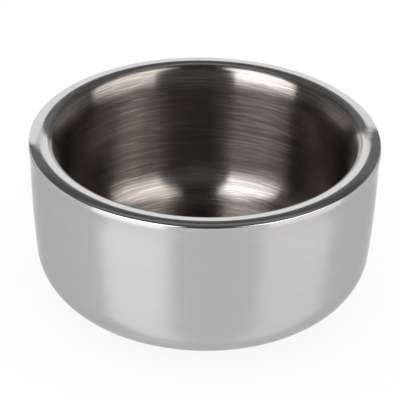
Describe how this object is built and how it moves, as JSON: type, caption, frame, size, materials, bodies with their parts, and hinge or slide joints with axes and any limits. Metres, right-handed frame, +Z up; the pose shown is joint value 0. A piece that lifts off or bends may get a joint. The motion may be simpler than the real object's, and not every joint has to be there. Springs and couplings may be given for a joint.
{
  "type": "double-walled dog bowl",
  "caption": "Round double-walled food bowl for a small dog, with a brushed cup, a broad rolled rim, a polished outer shell and a non-slip ring underneath.",
  "frame": {"origin": "on the ground under the centre of the bowl, level with the underside of the foot ring", "axes": "+Z up along the bowl's axis of symmetry, out of its mouth; the bowl is the same all round, so +X and +Y are free"},
  "size_m": [0.13, 0.13, 0.063],
  "materials": {
    "brushed_cup": "brushed round the axis inside, mirror polished over the rim",
    "polished_shell": "mirror polished with a slight sheet waviness",
    "polished_weld": "ground and polished",
    "satin_plate": "satin",
    "weld_metal": "rough cleaned weld",
    "plug_plastic": "matte",
    "foot_rubber": "matte black rubber"
  },
  "bodies": {
    "root": {"inner_bowl": "brushed_cup", "outer_shell": "polished_shell", "rim_weld": "polished_weld", "base_plate": "satin_plate", "base_weld": "weld_metal", "vent_plug": "plug_plastic", "foot_ring": "foot_rubber"}
  },
  "joints": []
}
